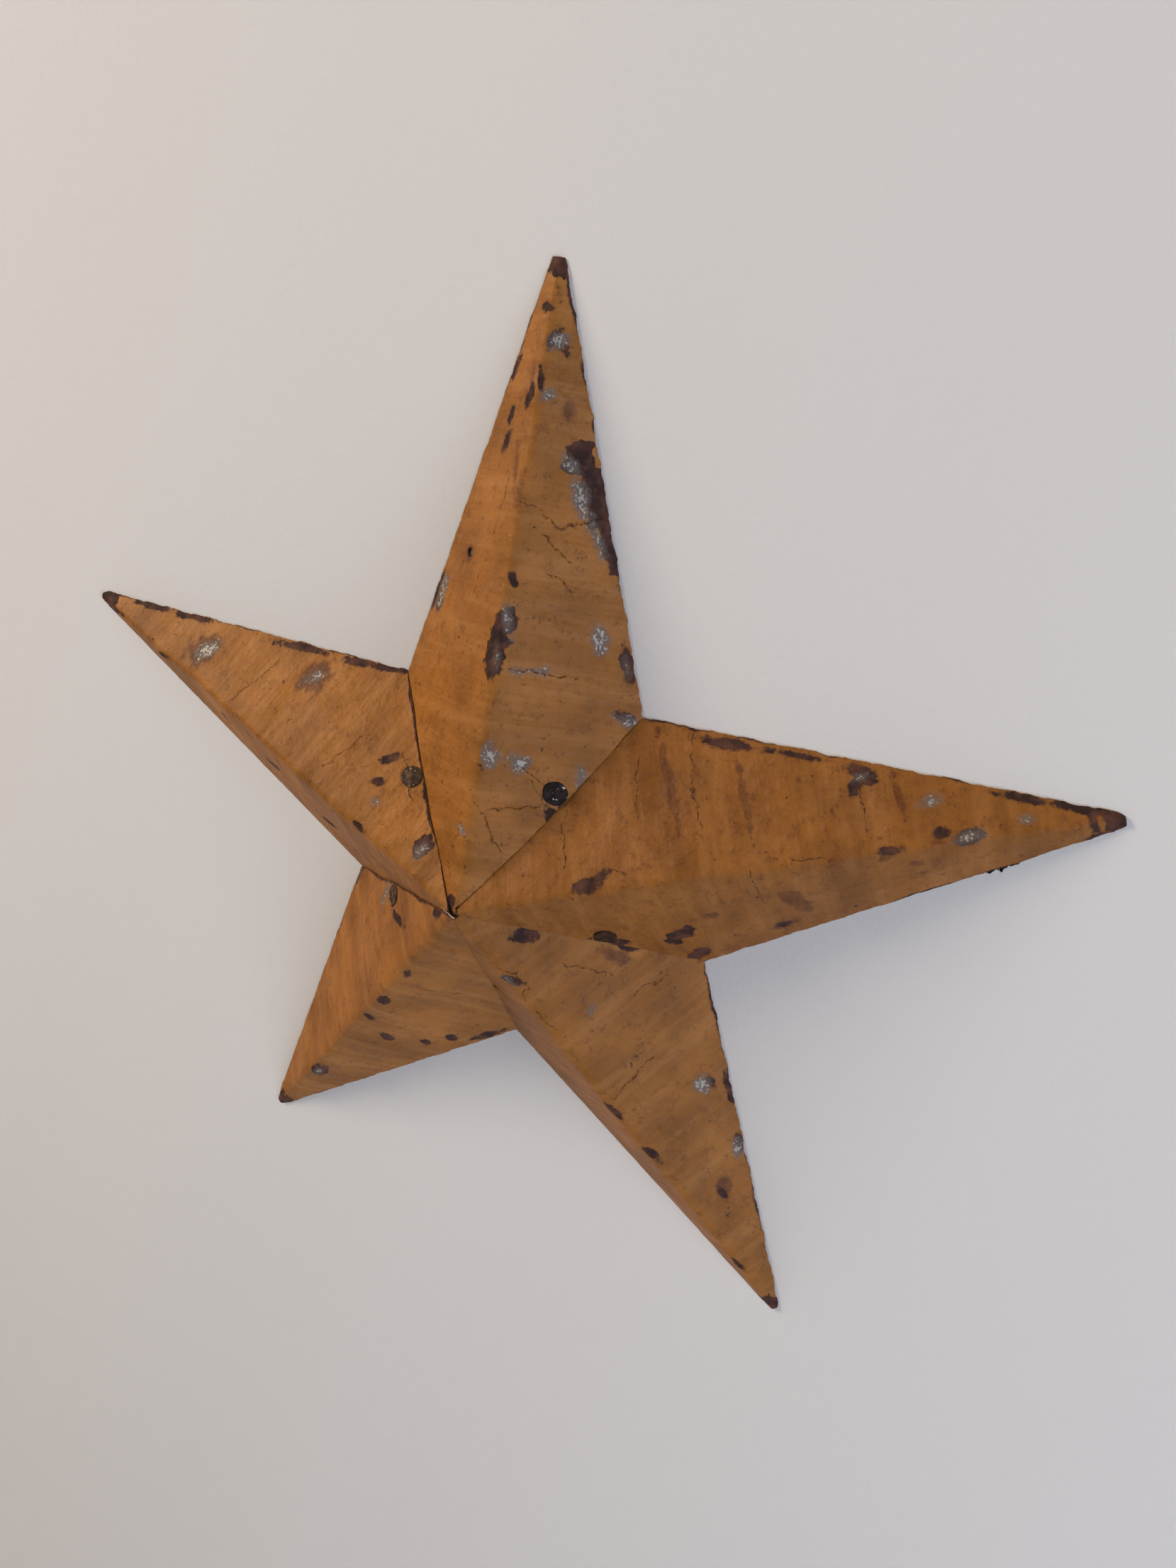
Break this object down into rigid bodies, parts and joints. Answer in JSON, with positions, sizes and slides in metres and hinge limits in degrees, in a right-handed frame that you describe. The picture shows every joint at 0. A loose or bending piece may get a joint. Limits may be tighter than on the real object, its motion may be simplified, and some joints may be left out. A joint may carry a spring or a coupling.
{
  "type": "barn star",
  "caption": "Rustic sheet-metal barn star for a wall: folded pointed arms lapped round a raised centre and riveted at the seams, with a strap and swinging ring to hang it by.",
  "frame": {"origin": "the star's centre on the wall, behind the raised centre point", "axes": "+Z along the top arm, +Y into the wall, so the raised centre points along -Y; +X to the right as seen from the front"},
  "size_m": [0.4606, 0.0604, 0.4376],
  "materials": {
    "painted_sheet": "worn ochre paint over red-brown primer and zinc",
    "rivet_steel": "dark, worn",
    "strap_steel": "dull zinc coat",
    "ring_steel": "drawn wire"
  },
  "bodies": {
    "star": {"arm_top": "painted_sheet", "arm_left": "painted_sheet", "arm_lower_left": "painted_sheet", "arm_lower_right": "painted_sheet", "arm_right": "painted_sheet", "rivet_upper_left": "rivet_steel", "rivet_lower_left": "rivet_steel", "rivet_bottom": "rivet_steel", "rivet_lower_right": "rivet_steel", "rivet_upper_right": "rivet_steel", "hanger_strap": "strap_steel"},
    "ring": {"hanger_ring": "ring_steel"}
  },
  "joints": [
    {"name": "ring_swing", "type": "hinge", "parent": "star", "child": "ring", "pos_m": [0, -0.00935, 0.125], "axis": [-1, 0, 0], "range_deg": [0, 180]}
  ]
}
